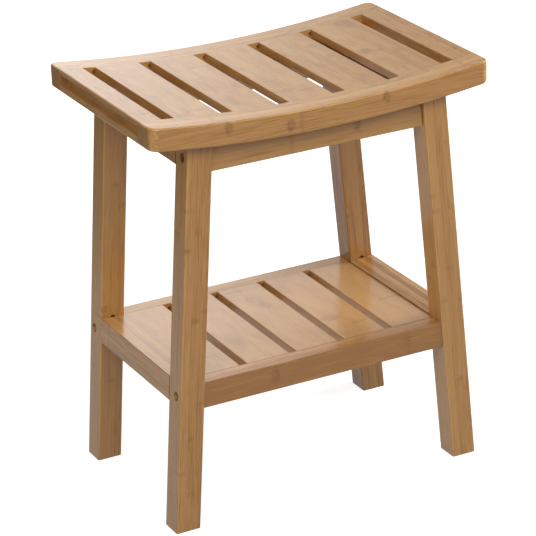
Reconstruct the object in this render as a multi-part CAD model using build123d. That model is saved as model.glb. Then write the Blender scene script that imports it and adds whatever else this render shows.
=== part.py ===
from build123d import *
import math
import os

# Slatted bamboo bench: a saddle-shaped seat on two splayed ladder ends, with long aprons
# under the seat and a slatted shelf tray bolted between the legs.
# Millimetres. +X runs along the bench, +Y to the rear and +Z up. The origin is on the
# floor under the middle of the seat, and both halves mirror about it.

# Overall sizes
seat_length = 390.0
seat_depth = 250.0
seat_height = 455.0
saddle_drop = 13.0

# Seat frame: curved rails front and rear, slats between them
seat_rail_width = 29.8
seat_rail_height = 24.2
seat_corner_radius = 10.0
seat_slat_count = 5
seat_slat_thickness = 9.2
seat_slot_width = 13.6
seat_end_slat_width = 27.3
seat_tongue_length = 12.0
seat_tongue_depth = 4.9
end_tongue_width = 15.0

# Finger grip routed along the outer face of each end slat
grip_height = 11.5
grip_depth = 9.0
grip_lip = 5.2
grip_nose_radius = 4.5

# Ladder ends: two legs, an apron under the seat and a rail beside the shelf
foot_spread = 366.6
splay_angle = 4.6
leg_thickness = 28.0
leg_depth = 27.7
seat_overhang = 12.3
ladder_rail_height = 27.4
ladder_tongue_thickness = 7.0
ladder_tongue_length = 9.0
ladder_tongue_shoulder = 1.2
apron_tongue_inset = 6.0

# Long aprons under the seat
apron_thickness = 15.0
apron_setback = 4.8
apron_height = 26.6
apron_end_gap = 0.6

# Shelf tray
shelf_height = 164.5
shelf_rail_height = 28.8
shelf_rail_width = 18.5
shelf_rail_setback = 1.8
shelf_slat_count = 5
shelf_slat_thickness = 12.0
shelf_slot_width = 9.0
shelf_tongue_length = 9.0
shelf_tongue_depth = 5.8
shelf_tongue_inset = 8.0
shelf_end_gap = 0.5
shelf_step = 2.2
shelf_joint_gap = 0.2

# Tongues and the round-ended mortises that they are glued into
tongue_thickness = 5.0
mortise_end_gap = 1.0
glue_clearance = 0.1

# Bolts, barrel nuts and seat screws
bolt_diameter = 5.0
bolt_length = 50.0
bolt_head_diameter = 8.5
bolt_head_height = 5.0
bolt_socket_width = 4.0
bolt_socket_depth = 2.5
counterbore_diameter = 10.0
counterbore_depth = 8.0
nut_diameter = 10.0
nut_length = 12.0
nut_setback = 24.0
nut_slot_width = 1.2
nut_slot_depth = 1.5
screw_diameter = 4.0
screw_head_diameter = 8.0
screw_head_height = 2.5
screw_bite = 13.0
screw_pocket_diameter = 9.0
screw_pocket_depth = 11.0
hole_clearance = 0.25
tip_clearance = 2.0
cutter_overrun = 1.0

# Eased edges
rail_edge_radius = 2.0
leg_edge_radius = 2.0
slat_edge_radius = 1.0
small_edge_radius = 0.8
widest_fillet_share = 0.9

# The seat's top is an arc about a centre high above it
half_length = seat_length / 2
half_depth = seat_depth / 2
saddle_radius = (half_length**2 + saddle_drop**2) / (2 * saddle_drop)
saddle_centre = seat_height - saddle_drop + saddle_radius
apron_bottom = seat_height - saddle_drop - seat_rail_height - apron_height

# Where the rails, legs and aprons lie across the depth
seat_rail_inner = half_depth - seat_rail_width
leg_outer = half_depth - seat_overhang
leg_inner = leg_outer - leg_depth
leg_middle = (leg_outer + leg_inner) / 2
apron_outer = leg_outer - apron_setback
apron_inner = apron_outer - apron_thickness
apron_middle = (apron_outer + apron_inner) / 2
shelf_rail_outer = leg_outer - shelf_rail_setback
shelf_rail_inner = shelf_rail_outer - shelf_rail_width
shelf_rail_middle = (shelf_rail_outer + shelf_rail_inner) / 2

# The right ladder end lies in a plane that leans inwards; u runs out across the leg's
# thickness from its outer face, and w runs up along the leg from the floor
splay = math.radians(splay_angle)
half_spread = foot_spread / 2
ladder_end = Pos(half_spread, 0, 0) * Rot(0, -splay_angle, 0)
leg_centre_u = -leg_thickness / 2


def outer_face_x(z):
    """Distance of the leg's outer face from the middle of the bench, at height z."""
    return half_spread - z * math.tan(splay)


def inner_face_x(z):
    """Distance of the leg's inner face from the middle of the bench, at height z."""
    return outer_face_x(z) - leg_thickness / math.cos(splay)


def along_leg(u, z):
    """Place w on the leg, at distance u from its outer face, that is at height z."""
    return (z - u * math.sin(splay)) / math.cos(splay)


def saddle_z(x, below=0.0):
    """Height of the curve that runs a given depth below the seat's top."""
    radius = saddle_radius + below
    return saddle_centre - math.sqrt(radius**2 - x**2)


def saddle_place(x):
    """Frame on the seat's top at x, with its x axis along the curve."""
    lean = math.degrees(math.asin(x / saddle_radius))
    return Pos(x, 0, saddle_z(x)) * Rot(0, -lean, 0)


def saddle_arc(x0, x1, below, y):
    """Arc a given depth below the seat's top, from x0 to x1, at one depth of the bench."""
    middle = (x0 + x1) / 2
    return ThreePointArc(
        (x0, y, saddle_z(x0, below)),
        (middle, y, saddle_z(middle, below)),
        (x1, y, saddle_z(x1, below)),
    )


def prism(edges, length):
    """Solid made by drawing a closed outline in an XZ plane along +Y."""
    return extrude(Face(Wire(edges)), amount=length, dir=(0, 1, 0))


def saddle_block(x0, x1, y0, y1, bottom_line):
    """Block from a curve below the seat's underside down to given bottom points."""
    left, right = bottom_line
    top = saddle_arc(x0, x1, seat_rail_height, y0)
    down = Line(top @ 1, (right[0], y0, right[1]))
    back = Line(down @ 1, (left[0], y0, left[1]))
    up = Line(back @ 1, top @ 0)
    return prism([top, down, back, up], y1 - y0)


def cylinder_from(start, direction, diameter, length):
    """Rod of a given length that starts at a point and runs in a direction."""
    return extrude(Plane(start, z_dir=direction) * Circle(diameter / 2), amount=length)


def edges_along(solid, axis, at_least):
    """Edges parallel to an axis and at least so long."""
    return solid.edges().filter_by(axis).filter_by(lambda edge: edge.length >= at_least)


def mirrored_pair(solid, plane):
    """A solid and its mirror image, in the order negative side, positive side."""
    return mirror(solid, about=plane), solid


# Tongues and mortises


def tongue(width, thickness, length):
    """Tongue centred on its own origin that stands out along +Y from a shoulder."""
    return Pos(0, length / 2, 0) * Box(width, length, thickness)


def mortise(width, thickness, depth):
    """Routed mortise along X whose round ends run past a tongue of the given width."""
    bit = thickness + 2 * glue_clearance
    outline = Plane.XZ * SlotOverall(width + bit, bit)
    return extrude(outline, amount=depth, dir=(0, 1, 0))


# Seat

seat_arc_length = 2 * saddle_radius * math.asin(half_length / saddle_radius)
slats_and_slots = seat_arc_length - 2 * seat_end_slat_width
seat_slat_width = (slats_and_slots - (seat_slat_count + 1) * seat_slot_width) / seat_slat_count
seat_pitch = seat_slat_width + seat_slot_width


def on_curve(distance):
    """Distance from the middle in X of a point that far along the seat's curve."""
    return saddle_radius * math.sin(distance / saddle_radius)


seat_slat_places = [
    on_curve((index - (seat_slat_count - 1) / 2) * seat_pitch) for index in range(seat_slat_count)
]
end_slat_inner = on_curve(seat_arc_length / 2 - seat_end_slat_width)
end_tongue_place = on_curve(seat_arc_length / 2 - seat_end_slat_width + end_tongue_width / 2)
end_tongue_depth = seat_rail_height / 2


def seat_mortises():
    """Cutters for every mortise in the rear rail's inner face."""
    depth = seat_tongue_length + mortise_end_gap
    slot = mortise(seat_slat_width, tongue_thickness, depth)
    cutters = [
        saddle_place(x) * Pos(0, seat_rail_inner, -seat_tongue_depth) * slot for x in seat_slat_places
    ]
    end_slot = mortise(end_tongue_width, tongue_thickness, depth)
    for x in (-end_tongue_place, end_tongue_place):
        cutters.append(saddle_place(x) * Pos(0, seat_rail_inner, -end_tongue_depth) * end_slot)
    return cutters


def seat_rail():
    """Rear rail of the seat: a curved board with round outer corners and mortises."""
    top = saddle_arc(-half_length, half_length, 0, seat_rail_inner)
    bottom = saddle_arc(-half_length, half_length, seat_rail_height, seat_rail_inner)
    left = Line(top @ 0, bottom @ 0)
    right = Line(top @ 1, bottom @ 1)
    rail = prism([top, right, bottom, left], seat_rail_width)
    outer_corners = rail.edges().filter_by(Axis.Z).sort_by(Axis.Y)[-2:]
    rail = fillet(outer_corners, seat_corner_radius)
    past_inner_face = rail.edges().filter_by(lambda edge: edge.center().Y > seat_rail_inner + cutter_overrun)
    rail = fillet(past_inner_face.filter_by(Axis.Z, reverse=True), rail_edge_radius)
    return rail - seat_mortises() - seat_screw_pilots()


def seat_slat():
    """Middle slat on its own frame: flat below, and following the seat's curve on top."""
    half = seat_slat_width / 2
    rise = saddle_radius - math.sqrt(saddle_radius**2 - half**2)
    y = -seat_rail_inner
    top = ThreePointArc((-half, y, rise), (0, y, 0), (half, y, rise))
    right = Line(top @ 1, (half, y, -seat_slat_thickness))
    bottom = Line(right @ 1, (-half, y, -seat_slat_thickness))
    left = Line(bottom @ 1, top @ 0)
    board = prism([top, right, bottom, left], 2 * seat_rail_inner)
    board = fillet(edges_along(board, Axis.Y, seat_rail_inner), slat_edge_radius)
    end = tongue(seat_slat_width, tongue_thickness, seat_tongue_length)
    rear = Pos(0, seat_rail_inner, -seat_tongue_depth) * end
    return board + rear + mirror(rear, about=Plane.XZ)


def finger_grip():
    """Routed cove along the whole right end slat, with a round bottom."""
    middle = saddle_z(half_length) - grip_lip - grip_height / 2
    depth = grip_depth + cutter_overrun
    place = Pos(half_length - grip_depth + depth / 2, 0, middle)
    cove = place * Box(depth, 2 * (seat_rail_inner + cutter_overrun), grip_height)
    deepest_edges = edges_along(cove, Axis.Y, seat_rail_inner).sort_by(Axis.X)[:2]
    widest = widest_fillet_share * min(grip_height / 2, grip_depth)
    return fillet(deepest_edges, min(grip_nose_radius, widest))


def seat_end_slat():
    """Right end slat: as thick as the rails, with a finger grip in its outer face."""
    y = -seat_rail_inner
    outward = math.asin(end_slat_inner / saddle_radius)
    low_radius = saddle_radius + seat_rail_height
    low_inner = low_radius * math.sin(outward)
    top = saddle_arc(end_slat_inner, half_length, 0, y)
    bottom = saddle_arc(low_inner, half_length, seat_rail_height, y)
    block = prism([top, Line(top @ 1, bottom @ 1), bottom, Line(bottom @ 0, top @ 0)], -2 * y)
    outer_edges = edges_along(block, Axis.Y, seat_rail_inner).sort_by(Axis.X)[-2:]
    block = fillet(outer_edges, rail_edge_radius)
    inner_edges = edges_along(block, Axis.Y, seat_rail_inner).sort_by(Axis.X)[:2]
    block = fillet(inner_edges, slat_edge_radius)
    end = tongue(end_tongue_width, tongue_thickness, seat_tongue_length)
    rear = saddle_place(end_tongue_place) * Pos(0, seat_rail_inner, -end_tongue_depth) * end
    return block - finger_grip() + rear + mirror(rear, about=Plane.XZ)


# Bolts and barrel nuts, on the right ladder end's frame

apron_end_top = saddle_z(inner_face_x(saddle_z(0)), seat_rail_height)
apron_joint_z = (apron_bottom + apron_end_top) / 2
shelf_joint_z = shelf_height - shelf_rail_height / 2
apron_bolt_w = along_leg(-leg_thickness, apron_joint_z)
shelf_bolt_w = along_leg(-leg_thickness, shelf_joint_z)
nut_u = -leg_thickness - nut_setback
bolt_hole_diameter = bolt_diameter + 2 * hole_clearance
nut_hole_diameter = nut_diameter + 2 * glue_clearance


def bolt(y, w):
    """Socket-head bolt, square to the leg, with its head at the counterbore's bottom."""
    seat = (-counterbore_depth, y, w)
    shank = cylinder_from(seat, (-1, 0, 0), bolt_diameter, bolt_length)
    head = cylinder_from(seat, (1, 0, 0), bolt_head_diameter, bolt_head_height)
    mouth = Plane((bolt_head_height - counterbore_depth, y, w), z_dir=(-1, 0, 0))
    hexagon = RegularPolygon(bolt_socket_width / math.sqrt(3), 6)
    return shank + head - extrude(mouth * hexagon, amount=bolt_socket_depth)


def bolt_bore(y, w):
    """Hole for a bolt through the leg and on into the piece behind it."""
    reach = counterbore_depth + bolt_length + tip_clearance
    bore = cylinder_from((0, y, w), (-1, 0, 0), bolt_hole_diameter, reach)
    return bore + cylinder_from((0, y, w), (-1, 0, 0), counterbore_diameter, counterbore_depth)


def barrel_nut(y, w, axis):
    """Barrel nut across the bolt, with a cross hole and a driver slot in its mouth."""
    half = nut_length / 2
    centre = Vector(nut_u, y, w)
    body = cylinder_from(centre - axis * half, axis, nut_diameter, nut_length)
    cross = cylinder_from((0, y, w), (-1, 0, 0), bolt_hole_diameter, -2 * nut_u)
    mouth = Plane(centre - axis * half, x_dir=(1, 0, 0), z_dir=axis)
    slot = extrude(mouth * Rectangle(nut_diameter, nut_slot_width), amount=nut_slot_depth)
    return body - cross - slot


def nut_bore(y, w, axis, mouth_reach):
    """Blind hole that the barrel nut is pushed into, from the hidden face."""
    half = nut_length / 2 + glue_clearance
    centre = Vector(nut_u, y, w)
    return cylinder_from(centre + axis * half, axis * -1, nut_hole_diameter, half + mouth_reach)


apron_nut_axis = Vector(0, 1, 0)
shelf_nut_axis = Vector(0, 0, 1)


# Ladder ends


def under_seat():
    """Space between the floor and the underside of the seat's rails."""
    return saddle_block(
        -half_length, half_length, -half_depth, half_depth, ((-half_length, 0), (half_length, 0))
    )


end_rail_top = along_leg(-leg_thickness, shelf_height + shelf_step)
end_apron_top = along_leg(0, saddle_z(outer_face_x(saddle_z(0)), seat_rail_height))
end_apron_bottom = end_apron_top - ladder_rail_height
ladder_top = along_leg(0, seat_height)


def end_rail_tongue():
    """Lower and upper end of the tongue on a shelf end rail, measured along the leg."""
    bottom = end_rail_top - ladder_rail_height
    return bottom + ladder_tongue_shoulder, end_rail_top - ladder_tongue_shoulder


def end_apron_tongue():
    """Lower and upper end of an end apron's tongue, which stays well below its top."""
    return end_apron_bottom + ladder_tongue_shoulder, end_apron_top - apron_tongue_inset


def ladder_mortise(span):
    """Upright round-ended mortise in the leg's inner side, for a ladder rail's tongue."""
    bottom, top = span
    bit = ladder_tongue_thickness + 2 * glue_clearance
    side = Plane((leg_centre_u, leg_inner, (bottom + top) / 2), x_dir=(0, 0, 1), z_dir=(0, 1, 0))
    depth = ladder_tongue_length + mortise_end_gap
    return extrude(side * SlotOverall(top - bottom + bit, bit), amount=depth)


def leg():
    """Right rear leg: rounded stick, cut level at the floor and scribed to the seat."""
    stick = Pos(leg_centre_u, leg_middle, ladder_top / 2) * Box(
        leg_thickness, leg_depth, ladder_top + 2 * leg_thickness
    )
    stick = fillet(stick.edges().filter_by(Axis.Z), leg_edge_radius)
    stick -= ladder_mortise(end_rail_tongue())
    stick -= ladder_mortise(end_apron_tongue())
    stick -= bolt_bore(apron_middle, apron_bolt_w)
    stick -= bolt_bore(shelf_rail_middle, shelf_bolt_w)
    return (ladder_end * stick) & under_seat()


def ladder_rail(bottom, top, tongue_span):
    """Board between the two legs of a ladder end, with a tongue at each end."""
    middle = (bottom + top) / 2
    board = Pos(leg_centre_u, 0, middle) * Box(leg_thickness, 2 * leg_inner, top - bottom)
    board = fillet(edges_along(board, Axis.Y, leg_inner), small_edge_radius)
    low, high = tongue_span
    upright = Box(ladder_tongue_thickness, ladder_tongue_length, high - low)
    rear = Pos(leg_centre_u, leg_inner + ladder_tongue_length / 2, (low + high) / 2) * upright
    return ladder_end * (board + rear + mirror(rear, about=Plane.XZ))


def end_apron():
    """Top rail of the right ladder end, scribed to the seat's curve like the legs."""
    return ladder_rail(end_apron_bottom, ladder_top, end_apron_tongue()) & under_seat()


def shelf_end_rail():
    """Lower rail of the right ladder end, just outside the shelf."""
    return ladder_rail(end_rail_top - ladder_rail_height, end_rail_top, end_rail_tongue())


# Long aprons

apron_screw_y = (max(apron_inner, seat_rail_inner) + apron_outer) / 2


def seat_screw_places():
    """Where the seat screws stand: under the slots beside the middle slat."""
    x = on_curve(seat_pitch / 2)
    return (-x, x)


def screw_head_z():
    """Height of the underside of a seat screw's head, at the bottom of its pocket."""
    return apron_bottom + screw_pocket_depth


def seat_screw(x):
    """Wood screw up through the rear apron into the seat rail, with a conical point."""
    tip = saddle_z(x, seat_rail_height) + screw_bite
    length = tip - screw_head_z()
    start = (x, apron_screw_y, screw_head_z())
    shank = cylinder_from(start, (0, 0, 1), screw_diameter, length - screw_diameter)
    point = Pos(x, apron_screw_y, tip - screw_diameter / 2) * Cone(screw_diameter / 2, 0, screw_diameter)
    head = cylinder_from(start, (0, 0, -1), screw_head_diameter, screw_head_height)
    return shank + point + head


def seat_screw_pilots():
    """Pilot holes for the seat screws in the rear seat rail."""
    pilots = []
    for x in seat_screw_places():
        start = (x, apron_screw_y, saddle_z(x, seat_rail_height) - cutter_overrun)
        pilots.append(cylinder_from(start, (0, 0, 1), screw_diameter, screw_bite + cutter_overrun))
    return pilots


def long_apron():
    """Rear apron: straight below, scribed to the seat above, bolted between the legs."""
    low = inner_face_x(apron_bottom) - apron_end_gap
    high = inner_face_x(saddle_z(low, seat_rail_height)) - apron_end_gap
    bottom_line = ((-low, apron_bottom), (low, apron_bottom))
    board = saddle_block(-high, high, apron_inner, apron_outer, bottom_line)
    board = fillet(edges_along(board, Axis.X, low), small_edge_radius)
    bores = ladder_end * bolt_bore(apron_middle, apron_bolt_w)
    mouth = apron_middle - apron_inner + cutter_overrun
    bores += ladder_end * nut_bore(apron_middle, apron_bolt_w, apron_nut_axis, mouth)
    board -= [bores, mirror(bores, about=Plane.YZ)]
    for x in seat_screw_places():
        start = (x, apron_screw_y, apron_bottom)
        board -= cylinder_from(start, (0, 0, 1), screw_pocket_diameter, screw_pocket_depth)
        board -= cylinder_from(start, (0, 0, 1), screw_diameter + 2 * hole_clearance, seat_height)
    return board


# Shelf tray

shelf_bottom = shelf_height - shelf_rail_height
shelf_half_length = inner_face_x(shelf_height) - shelf_end_gap
shelf_slots_total = (shelf_slat_count - 1) * shelf_slot_width
shelf_slat_width = (2 * shelf_half_length - shelf_slots_total) / shelf_slat_count
shelf_pitch = shelf_slat_width + shelf_slot_width
shelf_slat_places = [
    (index - (shelf_slat_count - 1) / 2) * shelf_pitch for index in range(shelf_slat_count)
]


def shelf_tongue(index):
    """Middle and width of a shelf slat's tongue; outer ones stay clear of the rail's end."""
    place = shelf_slat_places[index]
    if 0 < index < shelf_slat_count - 1:
        return place, shelf_slat_width
    shift = math.copysign(shelf_tongue_inset / 2, place)
    return place - shift, shelf_slat_width - shelf_tongue_inset


def shelf_rail():
    """Rear rail of the shelf tray, bolted between the legs and mortised for the slats."""
    low = inner_face_x(shelf_bottom) - shelf_joint_gap
    high = inner_face_x(shelf_height) - shelf_joint_gap
    y = shelf_rail_inner
    upper = [(-high, y, shelf_height), (high, y, shelf_height)]
    lower = [(low, y, shelf_bottom), (-low, y, shelf_bottom)]
    board = prism(Polyline(*upper, *lower, close=True).edges(), shelf_rail_width)
    board = fillet(edges_along(board, Axis.X, low), small_edge_radius)
    for index in range(shelf_slat_count):
        x, width = shelf_tongue(index)
        slot = mortise(width, tongue_thickness, shelf_tongue_length + mortise_end_gap)
        board -= Pos(x, shelf_rail_inner, shelf_height - shelf_tongue_depth) * slot
    bores = ladder_end * bolt_bore(shelf_rail_middle, shelf_bolt_w)
    bores += ladder_end * nut_bore(shelf_rail_middle, shelf_bolt_w, shelf_nut_axis, shelf_rail_height)
    return board - [bores, mirror(bores, about=Plane.YZ)]


def shelf_slat(index):
    """One slat of the shelf, with a tongue at each end."""
    middle = shelf_height - shelf_slat_thickness / 2
    board = Box(shelf_slat_width, 2 * shelf_rail_inner, shelf_slat_thickness)
    board = fillet(board.edges().filter_by(Axis.Y), small_edge_radius)
    board = Pos(shelf_slat_places[index], 0, middle) * board
    x, width = shelf_tongue(index)
    place = Pos(x, shelf_rail_inner, shelf_height - shelf_tongue_depth)
    rear = place * tongue(width, tongue_thickness, shelf_tongue_length)
    return board + rear + mirror(rear, about=Plane.XZ)


# Assembly


def four_corners(solid):
    """A fastener in the right rear corner and its images in the other three."""
    rear = mirrored_pair(solid, Plane.YZ)
    front = [mirror(one, about=Plane.XZ) for one in rear]
    return Compound(children=[*rear, *front])


def bench():
    """Every piece of the bench, by the name that a joiner would call it."""
    pieces = {}
    rail = seat_rail()
    pieces["seat_rail_front"], pieces["seat_rail_rear"] = mirrored_pair(rail, Plane.XZ)
    end_slat = seat_end_slat()
    pieces["seat_end_slat_left"], pieces["seat_end_slat_right"] = mirrored_pair(end_slat, Plane.YZ)
    slat = seat_slat()
    for index, x in enumerate(seat_slat_places):
        pieces[f"seat_slat_{index + 1}"] = saddle_place(x) * slat

    rear_right = leg()
    rear_left = mirror(rear_right, about=Plane.YZ)
    pieces["leg_rear_right"] = rear_right
    pieces["leg_rear_left"] = rear_left
    pieces["leg_front_right"] = mirror(rear_right, about=Plane.XZ)
    pieces["leg_front_left"] = mirror(rear_left, about=Plane.XZ)
    pieces["end_apron_left"], pieces["end_apron_right"] = mirrored_pair(end_apron(), Plane.YZ)
    end_rails = mirrored_pair(shelf_end_rail(), Plane.YZ)
    pieces["shelf_end_rail_left"], pieces["shelf_end_rail_right"] = end_rails
    pieces["long_apron_front"], pieces["long_apron_rear"] = mirrored_pair(long_apron(), Plane.XZ)

    pieces["shelf_rail_front"], pieces["shelf_rail_rear"] = mirrored_pair(shelf_rail(), Plane.XZ)
    for index in range(shelf_slat_count):
        pieces[f"shelf_slat_{index + 1}"] = shelf_slat(index)

    pieces["apron_bolts"] = four_corners(ladder_end * bolt(apron_middle, apron_bolt_w))
    pieces["shelf_bolts"] = four_corners(ladder_end * bolt(shelf_rail_middle, shelf_bolt_w))
    apron_nut = barrel_nut(apron_middle, apron_bolt_w, apron_nut_axis)
    pieces["apron_barrel_nuts"] = four_corners(ladder_end * apron_nut)
    shelf_nut = barrel_nut(shelf_rail_middle, shelf_bolt_w, shelf_nut_axis)
    pieces["shelf_barrel_nuts"] = four_corners(ladder_end * shelf_nut)
    screw = seat_screw(seat_screw_places()[1])
    pieces["seat_screws"] = four_corners(screw)
    return pieces


os.makedirs("parts", exist_ok=True)
for name, piece in bench().items():
    export_step(piece, f"parts/{name}.step")
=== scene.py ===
"""A slatted bamboo bench, dressed for its portrait: lacquered boards, steel bolts, a plain studio."""

import logging
import math
import random
from abc import ABC, abstractmethod
from dataclasses import dataclass, replace
from enum import Enum
from typing import Any, Iterable, Optional, Union

import bmesh
import bpy
from mathutils import Matrix, Vector

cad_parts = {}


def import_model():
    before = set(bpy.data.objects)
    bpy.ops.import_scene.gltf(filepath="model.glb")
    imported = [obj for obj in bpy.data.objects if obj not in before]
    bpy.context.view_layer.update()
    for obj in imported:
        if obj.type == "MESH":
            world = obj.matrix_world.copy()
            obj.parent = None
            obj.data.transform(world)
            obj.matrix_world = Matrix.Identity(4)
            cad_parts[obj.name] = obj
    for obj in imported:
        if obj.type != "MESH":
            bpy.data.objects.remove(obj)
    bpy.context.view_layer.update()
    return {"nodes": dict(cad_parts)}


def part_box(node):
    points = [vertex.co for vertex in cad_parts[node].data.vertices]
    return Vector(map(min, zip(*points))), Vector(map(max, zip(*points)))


LOG = logging.getLogger("bench")
MILLIMETRE = 0.001
MIDDLE = 0.5  # of a noise's range, and of a cell one unit wide
MIX_COLOUR_INPUTS = (0, 6, 7)  # the Mix node's weight and its two colours
MIX_COLOUR_OUTPUT = 2

Colour = tuple[float, float, float]
Place = tuple[float, float, float]
Socket = bpy.types.NodeSocket
Input = Union[Socket, float, tuple[float, ...]]


class Grain(Enum):
    """The way a board's fibres run, as its run, its width and its depth among the frame's axes."""

    ALONG_SEAT = ("x", "z", "y")
    FRONT_TO_BACK = ("y", "x", "z")
    UPRIGHT = ("z", "x", "y")


class Maths(Enum):
    """The sums that the shaders do."""

    ADD = "ADD"
    TAKE = "SUBTRACT"
    TIMES = "MULTIPLY"
    OVER = "DIVIDE"
    FLOOR = "FLOOR"
    PART = "FRACT"
    SIZE = "ABSOLUTE"
    LARGER = "MAXIMUM"
    SINE = "SINE"


@dataclass(frozen=True)
class Step:
    """A smooth step, from its low value at the start to its high one at the end."""

    start: float
    end: float
    low: float = 0.0
    high: float = 1.0


class ShaderGraph:
    """Lays out the nodes of one material or world and joins them up."""

    def __init__(self, owner: Union[bpy.types.Material, bpy.types.World]) -> None:
        """Empties the owner's node tree.

        Args:
            owner: the material or world.
        """
        owner.use_nodes = True
        self.tree = owner.node_tree
        self.tree.nodes.clear()

    def node(self, kind: str, **settings: Any) -> bpy.types.Node:
        """Adds a node.

        Args:
            kind: Blender's name of the node type.
            **settings: the node's own options.

        Returns:
            The new node.
        """
        made = self.tree.nodes.new(kind)
        for name, value in settings.items():
            setattr(made, name, value)
        return made

    def feed(self, socket: Socket, value: Optional[Input]) -> None:
        """Joins a value to a socket, or sets the socket to it.

        Args:
            socket: the input to feed.
            value: another node's output, a constant, or None to leave the input as it is.
        """
        if isinstance(value, bpy.types.NodeSocket):
            self.tree.links.new(value, socket)
        elif value is not None:
            socket.default_value = value

    def maths(
        self, step: Maths, first: Input, second: Optional[Input] = None, clamp: bool = False
    ) -> Socket:
        """Adds a sum.

        Args:
            step: which sum.
            first: its first value.
            second: its second value, where it has one.
            clamp: True to keep the result between 0 and 1.

        Returns:
            The result's socket.
        """
        made = self.node("ShaderNodeMath", operation=step.value, use_clamp=clamp)
        self.feed(made.inputs[0], first)
        self.feed(made.inputs[1], second)
        return made.outputs[0]

    def total(self, first: Input, *others: Input) -> Socket:
        """Adds values up.

        Args:
            first: the first value.
            *others: the values added to it.

        Returns:
            The total's socket.
        """
        for other in others:
            first = self.maths(Maths.ADD, first, other)
        return first

    def product(self, first: Input, *others: Input) -> Socket:
        """Multiplies values.

        Args:
            first: the first value.
            *others: the values that it is multiplied by.

        Returns:
            The product's socket.
        """
        for other in others:
            first = self.maths(Maths.TIMES, first, other)
        return first

    def swing(self, noise: Socket, strength: float) -> Socket:
        """Turns a noise into a swing about zero.

        Args:
            noise: a noise near the middle of 0 to 1 on average.
            strength: how far it swings.

        Returns:
            The swing's socket.
        """
        return self.product(self.maths(Maths.TAKE, noise, MIDDLE), strength)

    def count(self, way: Socket, size: float) -> Socket:
        """Counts cells along a way.

        Args:
            way: the way, in metres.
            size: the size of a cell, in millimetres.

        Returns:
            The count's socket.
        """
        return self.maths(Maths.OVER, way, size * MILLIMETRE)

    def point(self, x: Input, y: Input, z: Input) -> Socket:
        """Joins three values into a vector.

        Args:
            x: the first value.
            y: the second value.
            z: the third value.

        Returns:
            The vector's socket.
        """
        made = self.node("ShaderNodeCombineXYZ")
        for socket, value in zip(made.inputs, (x, y, z)):
            self.feed(socket, value)
        return made.outputs[0]

    def split(self, vector: Socket) -> tuple[Socket, ...]:
        """Splits a vector.

        Args:
            vector: the vector.

        Returns:
            Its x, y and z.
        """
        made = self.node("ShaderNodeSeparateXYZ")
        self.feed(made.inputs[0], vector)
        return tuple(made.outputs)

    def coordinate(self, kind: str) -> Socket:
        """Reads a texture coordinate.

        Args:
            kind: Object, Normal or Generated.

        Returns:
            The coordinate's socket.
        """
        return self.node("ShaderNodeTexCoord").outputs[kind]

    def local(
        self, middle: Place = (0.0, 0.0, 0.0), turn: float = 0.0, unit: Place = (1.0, 1.0, 1.0)
    ) -> Socket:
        """Reads where a point is, seen from a place of its own.

        Args:
            middle: that place.
            turn: how far its axes are turned about y, in radians.
            unit: the length of its units along its axes, in metres.

        Returns:
            The socket of the point's coordinates there.
        """
        made = self.node("ShaderNodeMapping", vector_type="TEXTURE")
        self.feed(made.inputs["Vector"], self.coordinate("Object"))
        self.feed(made.inputs["Location"], middle)
        self.feed(made.inputs["Rotation"], (0.0, turn, 0.0))
        self.feed(made.inputs["Scale"], unit)
        return made.outputs[0]

    def distance(self, place: Socket, middle: Place = (0.0, 0.0, 0.0)) -> Socket:
        """Measures how far away a place is.

        Args:
            place: the place.
            middle: where it is measured from.

        Returns:
            The distance's socket.
        """
        made = self.node("ShaderNodeVectorMath", operation="DISTANCE")
        self.feed(made.inputs[0], place)
        self.feed(made.inputs[1], middle)
        return made.outputs["Value"]

    def noise(self, place: Socket, detail: float) -> Socket:
        """Adds a soft noise with cells one unit across.

        Args:
            place: the vector to read it at.
            detail: how many finer layers it has.

        Returns:
            The noise's socket, near the middle of 0 to 1 on average.
        """
        made = self.node("ShaderNodeTexNoise", noise_dimensions="3D", normalize=True)
        self.feed(made.inputs["Vector"], place)
        self.feed(made.inputs["Scale"], 1.0)
        self.feed(made.inputs["Detail"], detail)
        return made.outputs["Fac"]

    def fade(self, value: Socket, step: Step) -> Socket:
        """Adds a smooth step.

        Args:
            value: what it reads.
            step: the step.

        Returns:
            The step's socket.
        """
        made = self.node("ShaderNodeMapRange", interpolation_type="SMOOTHSTEP")
        for socket, number in zip(made.inputs, (value, step.start, step.end, step.low, step.high)):
            self.feed(socket, number)
        return made.outputs[0]

    def blend(self, amount: Input, below: Union[Socket, Colour], above: Colour) -> Socket:
        """Blends two colours.

        Args:
            amount: how much of the upper one.
            below: the lower colour.
            above: the upper colour.

        Returns:
            The blended colour's socket.
        """
        made = self.node("ShaderNodeMix", data_type="RGBA")
        weight, lower, upper = (made.inputs[place] for place in MIX_COLOUR_INPUTS)
        self.feed(weight, amount)
        self.feed(lower, below if isinstance(below, bpy.types.NodeSocket) else (*below, 1.0))
        self.feed(upper, (*above, 1.0))
        return made.outputs[MIX_COLOUR_OUTPUT]

    def bump(self, height: Socket, strength: float, relief: float) -> Socket:
        """Adds fine relief.

        Args:
            height: how high each point stands.
            strength: how strongly it shows.
            relief: its depth, in millimetres.

        Returns:
            The socket of the bent normal.
        """
        made = self.node("ShaderNodeBump")
        self.feed(made.inputs["Strength"], strength)
        self.feed(made.inputs["Distance"], relief * MILLIMETRE)
        self.feed(made.inputs["Height"], height)
        return made.outputs[0]

    def glow(self, strength: Socket) -> Socket:
        """Adds a white glow of a strength and returns its socket."""
        made = self.node("ShaderNodeEmission")
        self.feed(made.inputs["Strength"], strength)
        return made.outputs[0]

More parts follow.
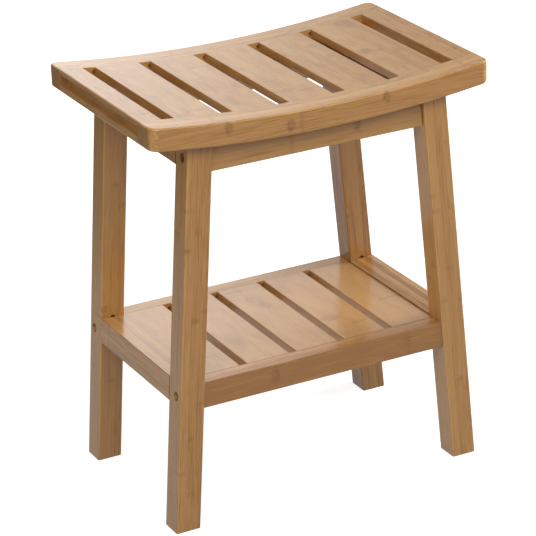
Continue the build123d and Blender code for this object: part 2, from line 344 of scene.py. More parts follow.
    def mix(self, amount: Socket, first: Socket, second: Socket) -> Socket:
        """Mixes two shaders.

        Args:
            amount: how much of the second.
            first: the first shader.
            second: the second shader.

        Returns:
            The mixed shader's socket.
        """
        made = self.node("ShaderNodeMixShader")
        for socket, value in zip(made.inputs, (amount, first, second)):
            self.feed(socket, value)
        return made.outputs[0]

    def both(self, first: Socket, second: Socket) -> Socket:
        """Adds two shaders up and returns the result's socket."""
        made = self.node("ShaderNodeAddShader")
        self.feed(made.inputs[0], first)
        self.feed(made.inputs[1], second)
        return made.outputs[0]

    def clear(self) -> Socket:
        """Adds a shader that lets all light through and returns its socket."""
        return self.node("ShaderNodeBsdfTransparent").outputs[0]

    def rays(self) -> tuple[Socket, Socket]:
        """Tells rays apart.

        Returns:
            Whether a ray comes straight from the camera or through glass, and whether from a reflection.
        """
        path = self.node("ShaderNodeLightPath").outputs
        seen = self.maths(Maths.LARGER, path["Is Camera Ray"], path["Is Transmission Ray"])
        return seen, path["Is Glossy Ray"]

    def output(self, surface: Socket, kind: str = "ShaderNodeOutputMaterial") -> None:
        """Joins the finished shader to the output.

        Args:
            surface: the finished shader.
            kind: Blender's name of the output node.
        """
        self.feed(self.node(kind).inputs["Surface"], surface)


def paint(node: str, material: bpy.types.Material) -> None:
    """Gives a node a material in place of its own.

    Args:
        node: the node's name.
        material: the material.
    """
    materials = bpy.data.objects[node].data.materials
    materials.clear()
    materials.append(material)


@dataclass(frozen=True)
class Knuckle:
    """A joint of the cane that shows on a board as a dark mottled patch. In millimetres.

    Its place is in the frame, and its reach is half its size along the board and across it.
    """

    place: Place
    reach: tuple[float, float]
    depth: float


@dataclass(frozen=True)
class Lamella:
    """The strips that a board is glued up from. Sizes in millimetres, phases in strips."""

    width: float
    depth: float
    width_phase: float = 0.0
    depth_phase: float = 0.0


@dataclass(frozen=True)
class Board:
    """One board of the bench: its grain, its strips, its lean in radians and its shade, a shift of its
    tone that on two legs is painted light.
    """

    node: str
    grain: Grain
    strips: Lamella
    lean: float = 0.0
    shade: float = 0.0
    knuckles: tuple[Knuckle, ...] = ()
    flat_sawn: bool = False


@dataclass(frozen=True)
class Contrast:
    """How strongly each feature of the grain shows, with the size of its clouds in millimetres. On
    flat-sawn faces the clouds are partly painted sheen.
    """

    strip: float
    streak: float
    fibre: float
    cloud: float
    cloud_width: float
    cloud_length: float
    rings: float = 0.0


@dataclass(frozen=True)
class Ways:
    """Where a point is on a board: along the grain, across the width and into the depth, in metres."""

    run: Socket
    width: Socket
    depth: Socket


@dataclass(frozen=True)
class Figure:
    """What the grain shows at a point, each from 0 to 1, with clouds that on flat-sawn faces are partly
    painted sheen. The label is each strip's random number.
    """

    label: Socket
    seam: Socket
    streaks: Socket
    fibres: Socket
    clouds: Socket
    joints: Socket


@dataclass(frozen=True)
class BambooFinish:
    """Carbonised bamboo under a clear satin lacquer. Sizes in millimetres, colours linear."""

    name: str
    pale: Colour = (0.610, 0.334, 0.108)
    middle: Colour = (0.508, 0.254, 0.070)
    dark: Colour = (0.335, 0.144, 0.034)
    joint: Colour = (0.215, 0.080, 0.020)
    end_grain: Colour = (0.320, 0.160, 0.046)
    dark_tone: float = 0.05
    middle_tone: float = 0.50
    pale_tone: float = 0.95
    edge_sawn: Contrast = Contrast(
        strip=0.62, streak=1.50, fibre=2.00, cloud=0.80, cloud_width=9.0, cloud_length=80.0
    )
    # Flat-sawn clouds, large and round, are partly the wood's mottle and partly painted sheen: pale
    # patches where the lacquer gleams.
    flat_sawn: Contrast = Contrast(
        strip=0.20, streak=0.45, fibre=1.10, cloud=0.85, cloud_width=16.0, cloud_length=36.0, rings=0.10
    )
    fibre_width: float = 0.65
    fibre_length: float = 24.0
    streak_width: float = 1.9
    streak_length: float = 95.0
    grain_detail: float = 2.0
    cloud_detail: float = 3.0
    coarse_detail: float = 1.0
    wave: float = 1.6
    wave_length: float = 30.0
    wave_width: float = 15.0
    ring_width: float = 3.6
    ring_bend: float = 20.0
    end_face: Step = Step(start=0.86, end=0.97)
    speckle: Step = Step(start=0.30, end=0.65, low=0.45)
    pores: Step = Step(start=0.60, end=0.74, high=0.35)
    joint_spacing: float = 290.0
    joint_reach: float = 4.0
    joint_depth: float = 0.35
    mottle: Step = Step(start=0.38, end=0.58, low=0.15)
    mottle_width: float = 0.9
    mottle_length: float = 3.0
    knuckle_edge: Step = Step(start=1.25, end=0.40)
    knuckle_heart: Step = Step(start=0.10, end=0.60, low=0.75)
    seam_width: float = 0.35
    seam_depth: float = 0.40
    roughness: float = 0.40
    roughness_spread: float = 0.14
    coat: float = 0.75
    coat_roughness: float = 0.17
    bump: float = 0.22
    relief: float = 0.12
    fibre_rise: float = 0.6
    joint_rise: float = 0.5
    seam_sink: float = 0.8

    def dress(self, board: Board) -> bpy.types.Material:
        """Paints a board.

        Args:
            board: the board, whose node gets the material.

        Returns:
            The material.
        """
        material = bpy.data.materials.new(f"{self.name}_{board.node}")
        graph = ShaderGraph(material)
        seed = random.Random(board.node).uniform(1.0, 9.0)
        contrast = self.flat_sawn if board.flat_sawn else self.edge_sawn
        ways = self._ways(graph, board)
        label, seam = self._strips(graph, board, ways, seed)
        shifted = replace(ways, run=graph.total(ways.run, graph.product(label, seed)))
        waved = self._waved(graph, shifted)
        cloud = (contrast.cloud_length, contrast.cloud_width)
        figure = Figure(
            label=label,
            seam=seam,
            fibres=self._noise(graph, waved, self.fibre_length, self.fibre_width, self.grain_detail),
            streaks=self._noise(graph, waved, self.streak_length, self.streak_width, self.grain_detail),
            clouds=self._noise(graph, waved, *cloud, self.cloud_detail),
            joints=self._joints(graph, board, shifted),
        )
        tone = self._tone(graph, board, contrast, figure, ways.width)
        colour = self._colour(graph, tone, figure)
        colour = graph.blend(self._end_faces(graph, board, ways), colour, self.end_grain)
        self._lacquer(graph, colour, figure)
        paint(board.node, material)
        return material

    def _ways(self, graph: ShaderGraph, board: Board) -> Ways:
        """Reads where a point is on the board.

        Args:
            graph: the material's graph.
            board: the board.

        Returns:
            The ways from the board's middle.
        """
        low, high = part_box(board.node)
        middle = (Vector(low) + Vector(high)) / 2
        named = dict(zip("xyz", graph.split(graph.local(tuple(middle), turn=board.lean))))
        return Ways(*(named[axis] for axis in board.grain.value))

    def _strips(
        self, graph: ShaderGraph, board: Board, ways: Ways, seed: float
    ) -> tuple[Socket, Socket]:
        """Divides the board into its glued strips.

        Args:
            graph: the material's graph.
            board: the board.
            ways: where a point is.
            seed: the board's own number.

        Returns:
            A random number for each strip, and how near a point is to a glue line.
        """
        strips = board.strips
        cells, lines = [], []
        across = (ways.width, strips.width, strips.width_phase)
        inward = (ways.depth, strips.depth, strips.depth_phase)
        for way, size, phase in (across, inward):
            counted = graph.total(graph.count(way, size), phase)
            cells.append(graph.maths(Maths.FLOOR, counted))
            off = graph.maths(Maths.TAKE, graph.maths(Maths.PART, counted), MIDDLE)
            line = Step(start=MIDDLE - self.seam_width / size, end=MIDDLE)
            lines.append(graph.fade(graph.maths(Maths.SIZE, off), line))
        label = graph.node("ShaderNodeTexWhiteNoise", noise_dimensions="3D")
        graph.feed(label.inputs["Vector"], graph.point(*cells, seed))
        return label.outputs["Value"], graph.maths(Maths.LARGER, *lines)

    def _noise(
        self, graph: ShaderGraph, ways: Ways, length: float, width: float, detail: float
    ) -> Socket:
        """Adds a noise drawn out along the grain.

        Args:
            graph: the material's graph.
            ways: where a point is.
            length: the length of its cells in millimetres.
            width: their width in millimetres.
            detail: how many finer layers it has.

        Returns:
            The noise's socket.
        """
        counts = ((ways.run, length), (ways.width, width), (ways.depth, width))
        return graph.noise(graph.point(*(graph.count(way, size) for way, size in counts)), detail)

    def _waved(self, graph: ShaderGraph, ways: Ways) -> Ways:
        """Bends the grain a little from side to side.

        Args:
            graph: the material's graph.
            ways: where a point is.

        Returns:
            The ways with the one across the width bent.
        """
        sway = self._noise(graph, ways, self.wave_length, self.wave_width, self.coarse_detail)
        return replace(ways, width=graph.total(ways.width, graph.swing(sway, self.wave * MILLIMETRE)))

    def _end_faces(self, graph: ShaderGraph, board: Board, ways: Ways) -> Socket:
        """Finds the sawn ends of a board, whose cut fibres look darker and speckled.

        Args:
            graph: the material's graph.
            board: the board.
            ways: where a point is.

        Returns:
            How much a point is end grain.
        """
        facing = graph.split(graph.coordinate("Normal"))["xyz".index(board.grain.value[0])]
        cells = (graph.count(way, self.fibre_width) for way in (ways.width, ways.depth))
        speckle = graph.fade(graph.noise(graph.point(*cells, 0.0), self.coarse_detail), self.speckle)
        return graph.product(graph.fade(graph.maths(Maths.SIZE, facing), self.end_face), speckle)

    def _tone(
        self, graph: ShaderGraph, board: Board, contrast: Contrast, figure: Figure, width: Socket
    ) -> Socket:
        """Adds up how pale the wood is.

        Args:
            graph: the material's graph.
            board: the board.
            contrast: how strongly each feature shows.
            figure: the features.
            width: the way across the grain.

        Returns:
            0 for the darkest wood and 1 for the palest.
        """
        features = (
            (figure.label, contrast.strip),
            (figure.streaks, contrast.streak),
            (figure.fibres, contrast.fibre),
            (figure.clouds, contrast.cloud),
        )
        swings = (graph.swing(noise, strength) for noise, strength in features)
        tone = graph.total(self.middle_tone + board.shade, *swings)
        if contrast.rings:
            rings = self._rings(graph, figure.clouds, width)
            tone = graph.total(tone, graph.product(rings, contrast.rings / 2))
        return tone

    def _rings(self, graph: ShaderGraph, clouds: Socket, width: Socket) -> Socket:
        """Draws the long flame-shaped rings of a flat-sawn face.

        Args:
            graph: the material's graph.
            clouds: the noise that bends the rings.
            width: the way across the grain.

        Returns:
            The rings, from -1 to 1.
        """
        bend = graph.product(clouds, self.ring_bend)
        return graph.maths(Maths.SINE, graph.total(graph.count(width, self.ring_width), bend))

    def _joints(self, graph: ShaderGraph, board: Board, ways: Ways) -> Socket:
        """Marks the cane's joints: faint ones along each strip, and the board's knuckles.

        Args:
            graph: the material's graph.
            board: the board.
            ways: where a point is, with its run shifted for each strip.

        Returns:
            How much a point is part of a joint.
        """
        spaced = graph.maths(Maths.PART, graph.count(ways.run, self.joint_spacing))
        away = graph.maths(Maths.SIZE, graph.maths(Maths.TAKE, spaced, MIDDLE))
        line = Step(start=self.joint_reach / self.joint_spacing, end=0.0)
        mark = graph.product(graph.fade(away, line), self.joint_depth)
        for knuckle in board.knuckles:
            mark = graph.maths(Maths.LARGER, mark, self._knuckle(graph, knuckle, board.grain))
        dashes = self._noise(graph, ways, self.mottle_length, self.mottle_width, self.grain_detail)
        return graph.product(mark, graph.fade(dashes, self.mottle))

    def _knuckle(self, graph: ShaderGraph, knuckle: Knuckle, grain: Grain) -> Socket:
        """Marks one knuckle.

        Args:
            graph: the material's graph.
            knuckle: its place and reach.
            grain: the way its board's fibres run.

        Returns:
            How much a point is part of it.
        """
        along, across = knuckle.reach
        reach = dict(zip(grain.value, (along, across, across)))
        middle = tuple(v * MILLIMETRE for v in knuckle.place)
        unit = tuple(reach[axis] * MILLIMETRE for axis in "xyz")
        away = graph.distance(graph.local(middle, unit=unit))
        edge, heart = graph.fade(away, self.knuckle_edge), graph.fade(away, self.knuckle_heart)
        return graph.product(edge, heart, knuckle.depth)

    def _colour(self, graph: ShaderGraph, tone: Socket, figure: Figure) -> Socket:
        """Turns the tone into the wood's colour.

        Args:
            graph: the material's graph.
            tone: how pale the wood is.
            figure: the features of the grain.

        Returns:
            The colour's socket.
        """
        ramp = graph.node("ShaderNodeValToRGB")
        graph.feed(ramp.inputs[0], tone)
        stops = ramp.color_ramp.elements
        stops[0].position, stops[0].color = self.dark_tone, (*self.dark, 1.0)
        stops[1].position, stops[1].color = self.pale_tone, (*self.pale, 1.0)
        stops.new(self.middle_tone).color = (*self.middle, 1.0)
        wood = graph.blend(graph.fade(figure.fibres, self.pores), ramp.outputs[0], self.dark)
        lined = graph.blend(graph.product(figure.seam, self.seam_depth), wood, self.dark)
        return graph.blend(figure.joints, lined, self.joint)

    def _lacquer(self, graph: ShaderGraph, colour: Socket, figure: Figure) -> None:
        """Finishes the material with its lacquer.

        Args:
            graph: the material's graph.
            colour: the wood's colour.
            figure: the features of the grain.
        """
        rough = graph.swing(figure.streaks, self.roughness_spread)
        grain = graph.total(graph.product(figure.fibres, self.fibre_rise), figure.streaks)
        sunk = graph.maths(Maths.TAKE, grain, graph.product(figure.seam, self.seam_sink))
        height = graph.total(sunk, graph.product(figure.joints, self.joint_rise))
        shader = graph.node("ShaderNodeBsdfPrincipled")
        graph.feed(shader.inputs["Base Color"], colour)
        graph.feed(shader.inputs["Roughness"], graph.total(rough, self.roughness))
        graph.feed(shader.inputs["Coat Weight"], self.coat)
        graph.feed(shader.inputs["Coat Roughness"], self.coat_roughness)
        graph.feed(shader.inputs["Normal"], graph.bump(height, self.bump, self.relief))
        graph.output(shader.outputs[0])


@dataclass(frozen=True)
class SteelFinish:
    """Zinc-plated steel with fine turning marks. Sizes in millimetres, colours linear."""

    name: str = "zinc_plate"
    # Both colours are darker than bare zinc: painted shade on the bolts down in their holes.
    bright: Colour = (0.46, 0.46, 0.47)
    dull: Colour = (0.26, 0.26, 0.27)
    mark_width: float = 0.25
    mark_detail: float = 3.0
    roughness: float = 0.34
    roughness_spread: float = 0.20
    bump: float = 0.25
    relief: float = 0.02

    def dress(self, nodes: Iterable[str]) -> bpy.types.Material:
        """Plates the fasteners.

        Args:
            nodes: the names of their nodes.

        Returns:
            The material.
        """
        material = bpy.data.materials.new(self.name)
        graph = ShaderGraph(material)
        unit = (self.mark_width * MILLIMETRE,) * 3
        marks = graph.noise(graph.local(unit=unit), self.mark_detail)
        rough = graph.swing(marks, self.roughness_spread)
        shader = graph.node("ShaderNodeBsdfPrincipled")
        graph.feed(shader.inputs["Base Color"], graph.blend(marks, self.dull, self.bright))
        graph.feed(shader.inputs["Metallic"], 1.0)
        graph.feed(shader.inputs["Roughness"], graph.total(rough, self.roughness))
        graph.feed(shader.inputs["Normal"], graph.bump(marks, self.bump, self.relief))
        graph.output(shader.outputs[0])
        for node in nodes:
            paint(node, material)
        return material


@dataclass
class Assembly(ABC):
    """A sub-assembly of boards with a finish."""

    finish: BambooFinish

    @abstractmethod
    def boards(self) -> list[Board]:
        """Lists its boards."""

    @abstractmethod
    def knuckles(self) -> dict[str, tuple[Knuckle, ...]]:
        """Lists the knuckles that show, by the name of their board's node."""

    def finish_for(self, board: Board) -> BambooFinish:
        """Picks a board's finish."""
        return self.finish

    def dress(self) -> int:
        """Finishes the boards and returns how many there are."""
        knuckles = self.knuckles()
        boards = self.boards()
        for board in boards:
            self.finish_for(board).dress(replace(board, knuckles=knuckles.get(board.node, ())))
        return len(boards)


@dataclass
class SaddleSeat(Assembly):
    """The saddle seat: two curved rails, two thick end slats and the thinner slats between them."""

    slats: int = 5
    rail_strips: Lamella = Lamella(width=40.0, depth=9.9, width_phase=0.5, depth_phase=0.5)
    slat_strips: Lamella = Lamella(width=25.0, depth=6.3)
    front_shade: float = 0.30

    def boards(self) -> list[Board]:
        """Lists the seat's boards."""
        made = [
            Board("seat_rail_front", Grain.ALONG_SEAT, self.rail_strips, shade=self.front_shade),
            Board("seat_rail_rear", Grain.ALONG_SEAT, self.rail_strips),
        ]
        slats = [f"seat_end_slat_{side}" for side in ("left", "right")]
        slats += [f"seat_slat_{number}" for number in range(1, self.slats + 1)]
        made += [Board(slat, Grain.FRONT_TO_BACK, self.slat_strips, flat_sawn=True) for slat in slats]
        return made

    def knuckles(self) -> dict[str, tuple[Knuckle, ...]]:
        """Lists the knuckles on the seat's front and top."""
        return {
            "seat_rail_front": (
                Knuckle(place=(-109.3, -125.0, 440.0), reach=(5.0, 9.0), depth=0.77),
                Knuckle(place=(-40.1, -125.0, 429.0), reach=(5.5, 8.0), depth=0.85),
                Knuckle(place=(71.2, -125.0, 438.0), reach=(5.0, 7.0), depth=0.83),
            ),
            "seat_end_slat_left": (
                Knuckle(place=(-178.0, -74.0, 452.6), reach=(3.0, 6.0), depth=0.77),
                Knuckle(place=(-170.0, -83.0, 452.0), reach=(3.0, 6.0), depth=0.71),
                Knuckle(place=(-184.0, 20.0, 453.0), reach=(5.0, 5.0), depth=0.32),
            ),
            "seat_end_slat_right": (Knuckle(place=(186.8, -69.0, 453.9), reach=(4.0, 3.0), depth=0.85),),
            "seat_slat_3": (Knuckle(place=(-14.0, -60.0, 442.0), reach=(7.0, 15.0), depth=0.50),),
            "seat_slat_4": (Knuckle(place=(81.0, 49.0, 444.2), reach=(7.0, 7.0), depth=0.45),),
            "seat_slat_5": (
                Knuckle(place=(114.0, -6.0, 446.4), reach=(9.0, 9.0), depth=0.62),
                Knuckle(place=(128.0, -13.0, 447.5), reach=(5.0, 6.0), depth=0.44),
            ),
        }


@dataclass
class LadderEnds(Assembly):
    """The two splayed ladder ends: four legs, the end aprons and the shelf's end rails."""

    splay_degrees: float = 4.6
    leg_strips: Lamella = Lamella(width=9.3, depth=13.9, width_phase=0.5)
    rail_strips: Lamella = Lamella(width=6.5, depth=60.0, depth_phase=0.5)
    # Two legs are coloured paler all over: painted light, standing in for the stronger light on them.
    painted_light_legs: tuple[str, ...] = ("leg_front_right", "leg_rear_left")
    painted_light_lift: float = 0.22

    def boards(self) -> list[Board]:
        """Lists the boards of both ends."""
        made = []
        for side, way in (("left", 1.0), ("right", -1.0)):
            lean = way * math.radians(self.splay_degrees)
            for leg in (f"leg_front_{side}", f"leg_rear_{side}"):
                # painted light: the two lit legs get a paler tone
                shade = self.painted_light_lift if leg in self.painted_light_legs else 0.0
                made.append(Board(leg, Grain.UPRIGHT, self.leg_strips, lean=lean, shade=shade))
            for rail in (f"end_apron_{side}", f"shelf_end_rail_{side}"):
                made.append(Board(rail, Grain.FRONT_TO_BACK, self.rail_strips, lean=lean))
        return made

    def knuckles(self) -> dict[str, tuple[Knuckle, ...]]:
        """Lists the knuckles on the legs."""
        return {
            "leg_front_left": (
                Knuckle(place=(-155.8, -112.7, 313.5), reach=(4.0, 5.2), depth=0.63),
                Knuckle(place=(-150.7, -112.7, 236.0), reach=(4.0, 5.2), depth=0.63),
                Knuckle(place=(-138.9, -112.7, 245.0), reach=(3.2, 4.2), depth=0.48),
                Knuckle(place=(-162.9, -112.7, 105.0), reach=(3.2, 4.2), depth=0.36),
            ),
            "leg_front_right": (
                Knuckle(place=(132.0, -112.7, 312.0), reach=(3.2, 3.7), depth=0.42),
                Knuckle(place=(152.8, -112.7, 297.0), reach=(3.2, 3.7), depth=0.42),
                Knuckle(place=(145.8, -112.7, 190.7), reach=(4.0, 4.2), depth=0.48),
                Knuckle(place=(167.1, -112.7, 188.0), reach=(4.0, 4.2), depth=0.63),
                Knuckle(place=(138.9, -112.7, 108.5), reach=(3.6, 4.2), depth=0.48),
                Knuckle(place=(164.2, -112.7, 93.8), reach=(3.6, 4.2), depth=0.58),
            ),
            "leg_rear_left": (
                Knuckle(place=(-142.6, 85.0, 318.6), reach=(4.0, 4.2), depth=0.48),
                Knuckle(place=(-165.5, 85.0, 178.3), reach=(4.8, 4.2), depth=0.58),
            ),
        }


@dataclass
class LongAprons(Assembly):
    """The two aprons under the seat, scribed to its curve."""

    strips: Lamella = Lamella(width=60.0, depth=7.5, width_phase=0.5)

    def boards(self) -> list[Board]:
        """Lists the aprons."""
        return [Board(f"long_apron_{row}", Grain.ALONG_SEAT, self.strips) for row in ("front", "rear")]

    def knuckles(self) -> dict[str, tuple[Knuckle, ...]]:
        """Lists the knuckle on the front apron."""
        knuckle = Knuckle(place=(45.2, -107.9, 409.0), reach=(5.0, 8.0), depth=0.83)
        return {"long_apron_front": (knuckle,)}


@dataclass
class ShelfTray(Assembly):
    """The low shelf: two rails and five slats, the slats in paler colours: painted light and painted
    sheen.
    """

    # paler slat colours: painted light and painted sheen on the shelf
    slat_finish: BambooFinish
    slats: int = 5
    rail_strips: Lamella = Lamella(width=60.0, depth=9.3, width_phase=0.5)
    slat_strips: Lamella = Lamella(width=27.0, depth=6.0)
    front_shade: float = -0.22

    def boards(self) -> list[Board]:
        """Lists the shelf's boards."""
        made = [
            Board("shelf_rail_front", Grain.ALONG_SEAT, self.rail_strips, shade=self.front_shade),
            Board("shelf_rail_rear", Grain.ALONG_SEAT, self.rail_strips),
        ]
        slats = [f"shelf_slat_{number}" for number in range(1, self.slats + 1)]
        made += [Board(slat, Grain.FRONT_TO_BACK, self.slat_strips, flat_sawn=True) for slat in slats]
        return made

    def knuckles(self) -> dict[str, tuple[Knuckle, ...]]:
        """Lists the knuckles on the front rail and the smoky patches on the slats."""
        return {
            "shelf_rail_front": (
                Knuckle(place=(-59.6, -110.9, 152.0), reach=(5.5, 11.0), depth=0.85),
                Knuckle(place=(99.1, -110.9, 154.0), reach=(6.0, 7.0), depth=0.58),
            ),
            "shelf_slat_2": (Knuckle(place=(-67.0, -33.0, 164.5), reach=(20.0, 12.0), depth=0.24),),
            "shelf_slat_3": (
                Knuckle(place=(3.0, 31.7, 164.5), reach=(11.0, 9.0), depth=0.62),
                Knuckle(place=(0.0, 50.0, 164.5), reach=(15.0, 15.0), depth=0.34),
            ),
            "shelf_slat_4": (
                Knuckle(place=(46.5, -37.0, 164.5), reach=(9.0, 14.0), depth=0.45),
                Knuckle(place=(40.0, 60.0, 164.5), reach=(16.0, 10.0), depth=0.32),
            ),
        }

    def finish_for(self, board: Board) -> BambooFinish:
        """Picks the paler colours, painted light and painted sheen, for the slats."""
        return self.slat_finish if board.flat_sawn else self.finish


@dataclass
class Portrait:
    """The camera at the photograph's angle. Metres and degrees, with its sensor in millimetres."""

    azimuth: float = 27.09
    elevation: float = 22.84
    roll: float = -2.05
    distance: float = 2.78533
    aim: Place = (-0.00776, -0.00016, 0.22238)
    focal_pixels: float = 2589.64
    frame_pixels: float = 536.0
    sensor: float = 36.0
    sight: float = 50.0

    def build(self) -> bpy.types.Object:
        """Places the camera and makes it the scene's own.

        Returns:
            The camera.
        """
        turn, rise, roll = map(math.radians, (self.azimuth, self.elevation, self.roll))
        level = math.cos(rise)
        back = Vector((-math.sin(turn) * level, -math.cos(turn) * level, math.sin(rise)))
        right = (-back).cross(Vector((0.0, 0.0, 1.0))).normalized()
        up = right.cross(-back)
        tipped_right = right * math.cos(roll) + up * math.sin(roll)
        tipped_up = up * math.cos(roll) - right * math.sin(roll)
        data = bpy.data.cameras.new("portrait")
        data.sensor_width = self.sensor
        data.lens = self.focal_pixels / self.frame_pixels * self.sensor
        data.clip_end = self.sight
        camera = bpy.data.objects.new("portrait", data)
        bpy.context.scene.collection.objects.link(camera)
        turned = Matrix((tipped_right, tipped_up, back)).transposed().to_4x4()
        camera.matrix_world = Matrix.Translation(Vector(self.aim) + back * self.distance) @ turned
        bpy.context.scene.camera = camera
        return camera


@dataclass(frozen=True)
class SoftBox:
    """A square studio lamp that looks at the bench, and may leave no highlight. Metres and watts."""

    name: str
    place: Place
    width: float
    power: float
    gleams: bool = True

    def build(self, aim: Vector) -> bpy.types.Object:
        """Hangs the lamp.

        Args:
            aim: the point that it looks at.

        Returns:
            The lamp.
        """
        data = bpy.data.lights.new(self.name, "AREA")
        data.shape = "SQUARE"
        data.size = self.width
        data.energy = self.power
        lamp = bpy.data.objects.new(self.name, data)
        lamp.visible_glossy = self.gleams
        bpy.context.scene.collection.objects.link(lamp)
        lamp.location = self.place
        lamp.rotation_euler = (aim - Vector(self.place)).to_track_quat("-Z", "Y").to_euler()
        return lamp


def stand_up(mesh: bpy.types.Mesh, material: bpy.types.Material) -> bpy.types.Object:
    """Makes a piece of the studio and puts it in the scene.

    Args:
        mesh: its mesh, whose name it shares.
        material: its material.

    Returns:
        The piece.
    """
    mesh.materials.append(material)
    piece = bpy.data.objects.new(mesh.name, mesh)
    bpy.context.scene.collection.objects.link(piece)
    return piece


@dataclass
class PaperFloor:
    """A round floor that is pale to the camera and keeps the bench's shadow. Sizes in metres."""

    radius: float = 6.0
    sides: int = 96
    white: float = 0.42
    lift: Step = Step(start=0.60, end=1.60, low=0.84)
    gleam: Step = Step(start=1.30, end=2.00, low=0.54, high=0.10)
    gleam_middle: Place = (0.3, -0.7, 0.0)

    def build(self) -> bpy.types.Object:
        """Lays the floor.

        Returns:
            The floor.
        """
        mesh = bpy.data.meshes.new("studio_floor")
        disc = bmesh.new()
        bmesh.ops.create_circle(disc, cap_ends=True, segments=self.sides, radius=self.radius)
        disc.to_mesh(mesh)
        disc.free()
        floor = stand_up(mesh, self._paper())
        return floor

    def _paper(self) -> bpy.types.Material:
        """Makes the paper: white far out, dimmer in the lacquer, and clear from below."""
        material = bpy.data.materials.new("studio_paper")
        graph = ShaderGraph(material)
        paper = graph.node("ShaderNodeBsdfDiffuse")
        graph.feed(paper.inputs["Color"], (self.white, self.white, self.white, 1.0))
        seen, mirrored = graph.rays()
        place = graph.coordinate("Object")
        glow = graph.glow(graph.product(seen, graph.fade(graph.distance(place), self.lift)))
        gleam = graph.glow(graph.fade(graph.distance(place, self.gleam_middle), self.gleam))
        upper = graph.mix(mirrored, graph.both(paper.outputs[0], glow), gleam)
        below = graph.node("ShaderNodeNewGeometry").outputs["Backfacing"]
        graph.output(graph.mix(below, upper, graph.clear()))
        return material


@dataclass
class GleamCard:
    """A bright card behind the bench, which shows only in its lacquer. Sizes in metres."""

    distance: float = 0.6
    left: float = -0.10
    right: float = 0.60
    foot: float = 0.05
    head: float = 1.20
    edge: float = 0.10
    dimming: Step = Step(start=0.06, end=0.54, low=0.72, high=0.0)
    low_boost: Step = Step(start=0.54, end=0.64, low=1.75)
    hidden_from: tuple[str, ...] = ("camera", "diffuse", "transmission", "volume_scatter", "shadow")

    def build(self) -> bpy.types.Object:
        """Stands the card up.

        Returns:
            The card.
        """
        mesh = bpy.data.meshes.new("studio_card")
        low = [(x, self.distance, self.foot) for x in (self.left, self.right)]
        high = [(x, self.distance, self.head) for x in (self.right, self.left)]
        mesh.from_pydata(low + high, [], [(0, 1, 2, 3)])
        card = stand_up(mesh, self._sheen())
        for kind in self.hidden_from:
            setattr(card, f"visible_{kind}", False)
        return card

    def _sheen(self) -> bpy.types.Material:
        """Makes the card's glow, which dims to the right and is stronger low down."""
        material = bpy.data.materials.new("studio_card")
        graph = ShaderGraph(material)
        x, _, z = graph.split(graph.coordinate("Object"))
        soft_left = Step(start=self.left, end=self.left + self.edge)
        soft_head = Step(start=self.head, end=self.head - self.edge)
        across = graph.product(graph.fade(x, soft_left), graph.fade(x, self.dimming))
        upward = graph.product(graph.fade(z, self.low_boost), graph.fade(z, soft_head))
        graph.output(graph.both(graph.glow(graph.product(across, upward)), graph.clear()))
        return material


@dataclass
class Surround:
    """The world: white to the camera, and to the lacquer a bright backdrop, a dim room and ceiling."""

    backdrop: Step = Step(start=-0.25, end=0.25, low=0.12, high=0.70)
    ceiling_edge: Step = Step(start=0.30, end=0.66)
    ceiling: float = 0.05
    dark_side: Step = Step(start=-0.35, end=0.10, low=0.30)
    ambient: float = 0.05

    def build(self) -> bpy.types.World:
        """Makes the world and puts it in the scene.

        Returns:
            The world.
        """
        world = bpy.data.worlds.new("studio")
        bpy.context.scene.world = world
        graph = ShaderGraph(world)
        x, y, z = graph.split(graph.coordinate("Generated"))
        rise = graph.fade(z, self.ceiling_edge)
        below = graph.maths(Maths.TAKE, 1.0, rise)
        walls = graph.product(graph.fade(y, self.backdrop), graph.fade(x, self.dark_side), below)
        level = graph.total(walls, graph.product(rise, self.ceiling))
        seen, mirrored = graph.rays()
        rest = graph.maths(Maths.TAKE, graph.maths(Maths.TAKE, 1.0, seen), mirrored, clamp=True)
        strength = graph.total(seen, graph.product(rest, self.ambient), graph.product(mirrored, level))
        backdrop = graph.node("ShaderNodeBackground")
        graph.feed(backdrop.inputs["Color"], (1.0, 1.0, 1.0, 1.0))
        graph.feed(backdrop.inputs["Strength"], strength)
        graph.output(backdrop.outputs[0], "ShaderNodeOutputWorld")
        return world


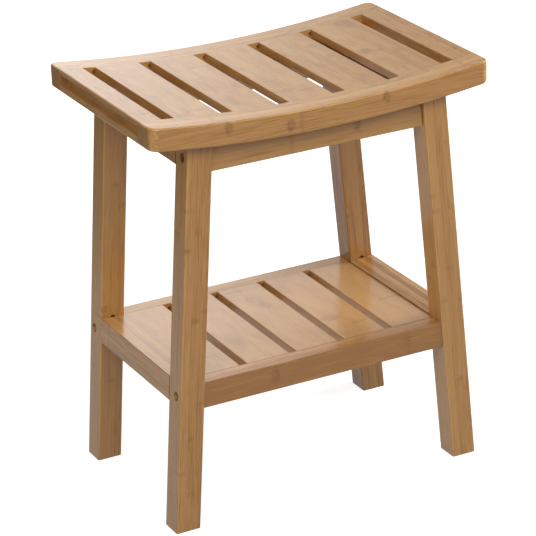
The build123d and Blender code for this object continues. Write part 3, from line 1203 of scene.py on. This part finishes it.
@dataclass
class Studio:
    """The floor, the surround, the card and soft lamps that look at the bench."""

    aim: Place = (0.0, 0.0, 0.25)
    lamps: tuple[SoftBox, ...] = (
        SoftBox("key", place=(-1.3, -1.5, 2.2), width=1.4, power=24.0),
        SoftBox("front", place=(0.2, -2.0, 2.0), width=1.4, power=28.0),
        SoftBox("right", place=(2.0, -0.3, 1.9), width=1.4, power=25.0),
        SoftBox("low_right", place=(2.4, -0.2, 0.8), width=1.2, power=44.0, gleams=False),
        SoftBox("low_left", place=(-2.3, -0.7, 0.8), width=1.2, power=10.0, gleams=False),
        SoftBox("low_rear", place=(0.0, 2.4, 0.9), width=1.2, power=17.0, gleams=False),
        SoftBox("rear", place=(0.0, 2.0, 2.1), width=1.4, power=4.0),
    )

    def build(self) -> None:
        """Builds the studio."""
        for part in (PaperFloor(), Surround(), GleamCard()):
            part.build()
        for lamp in self.lamps:
            lamp.build(Vector(self.aim))


def main() -> None:
    """Loads the bench, dresses each sub-assembly and sets up the studio."""
    logging.basicConfig(level=logging.INFO, format="%(name)s: %(message)s")
    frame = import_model()
    bpy.context.scene.view_settings.view_transform = "Standard"
    seat = BambooFinish("seat_bamboo")
    ends = BambooFinish("frame_bamboo")
    shelf = BambooFinish("shelf_bamboo")
    # Paler, greyer colours for the shelf slats: painted light and painted sheen, brightening the shelf
    # under the seat.
    painted_light_slats = BambooFinish(
        "shelf_slat_bamboo",
        pale=(0.680, 0.415, 0.180),
        middle=(0.585, 0.332, 0.128),
        dark=(0.415, 0.208, 0.068),
        coat=0.85,
    )
    for assembly in (SaddleSeat(seat), LadderEnds(ends), LongAprons(ends), ShelfTray(shelf, painted_light_slats)):
        LOG.info("%s: %d boards", type(assembly).__name__, assembly.dress())
    steel = [name for name in frame["nodes"] if name.endswith(("bolts", "nuts", "screws"))]
    SteelFinish().dress(steel)
    LOG.info("fasteners: %d nodes", len(steel))
    LOG.info("camera: %s", Portrait().build().name)
    studio = Studio()
    studio.build()
    LOG.info("studio: %d lamps", len(studio.lamps))


if __name__ == "__main__":
    main()
